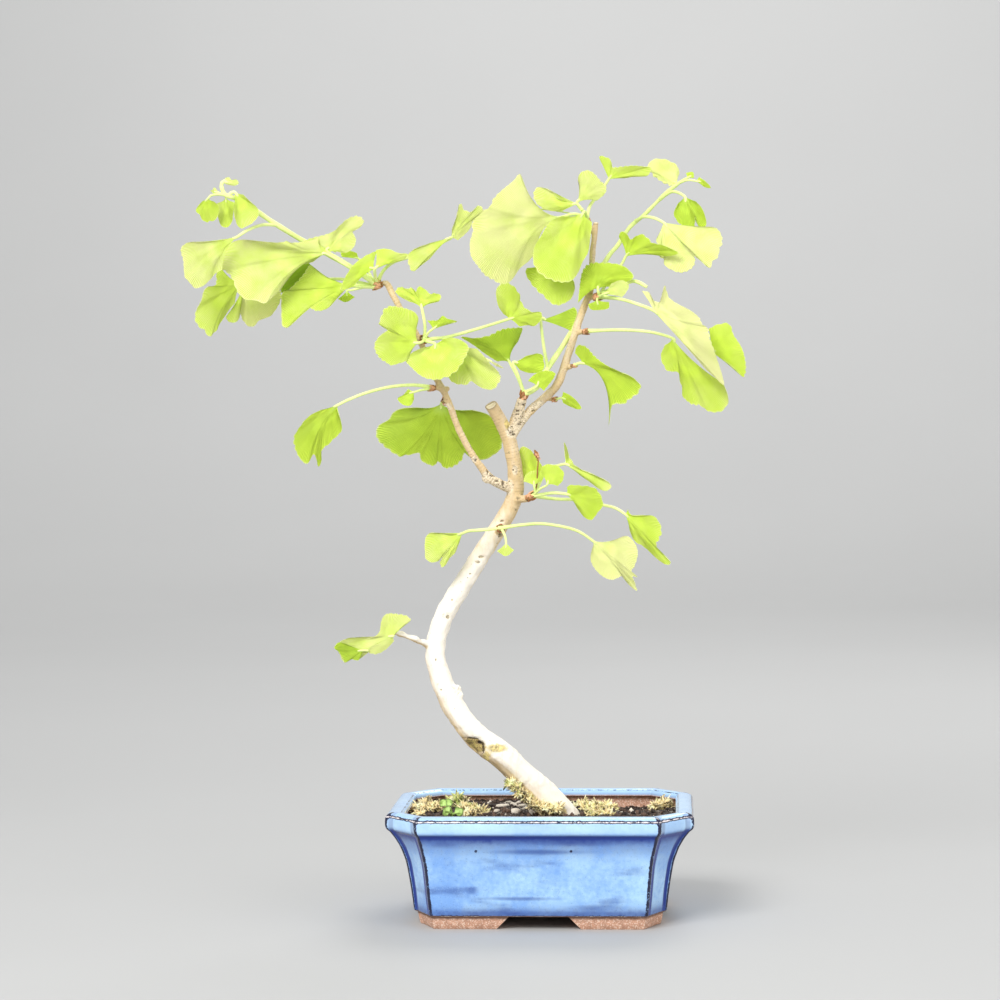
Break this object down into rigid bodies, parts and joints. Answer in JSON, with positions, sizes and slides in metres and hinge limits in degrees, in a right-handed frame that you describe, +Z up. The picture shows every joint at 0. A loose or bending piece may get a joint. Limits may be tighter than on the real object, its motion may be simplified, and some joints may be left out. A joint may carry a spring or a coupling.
{
  "type": "ginkgo bonsai",
  "caption": "Young ginkgo with a curved bare trunk, slim branches and sprays of fan-shaped leaves, in soil in a footed rectangular glazed pot with recessed corners.",
  "frame": {"origin": "centre of the outer box at the table's height", "axes": "+Z up, +X along the pot's long side, +Y from the side that shows the tree best to the back"},
  "size_m": [0.271, 0.1112, 0.3755],
  "materials": {
    "blue_glaze": "glossy sky-blue glaze, darker where it pools",
    "black_mesh": "matte",
    "potting_soil": "rough dark grains with pale grit",
    "pale_bark": "smooth pale bark with tan patches",
    "ginkgo_leaf": "satin, fine ribs from stalk to edge",
    "weed_leaf": "satin"
  },
  "bodies": {
    "root": {"pot": "blue_glaze", "drain_screen_left": "black_mesh", "drain_screen_right": "black_mesh", "soil": "potting_soil", "trunk": "pale_bark", "spray_left_tip": "ginkgo_leaf", "spray_left_middle": "ginkgo_leaf", "spray_left_low": "ginkgo_leaf", "spray_left_back": "ginkgo_leaf", "spray_centre": "ginkgo_leaf", "spray_leader_bud": "ginkgo_leaf", "spray_leader_low": "ginkgo_leaf", "leaf_leader": "ginkgo_leaf", "leaf_leader_small": "ginkgo_leaf", "spray_leader_top": "ginkgo_leaf", "spray_trunk_right": "ginkgo_leaf", "spray_trunk_low": "ginkgo_leaf", "spray_twig": "ginkgo_leaf", "seedling": "weed_leaf"}
  },
  "joints": []
}
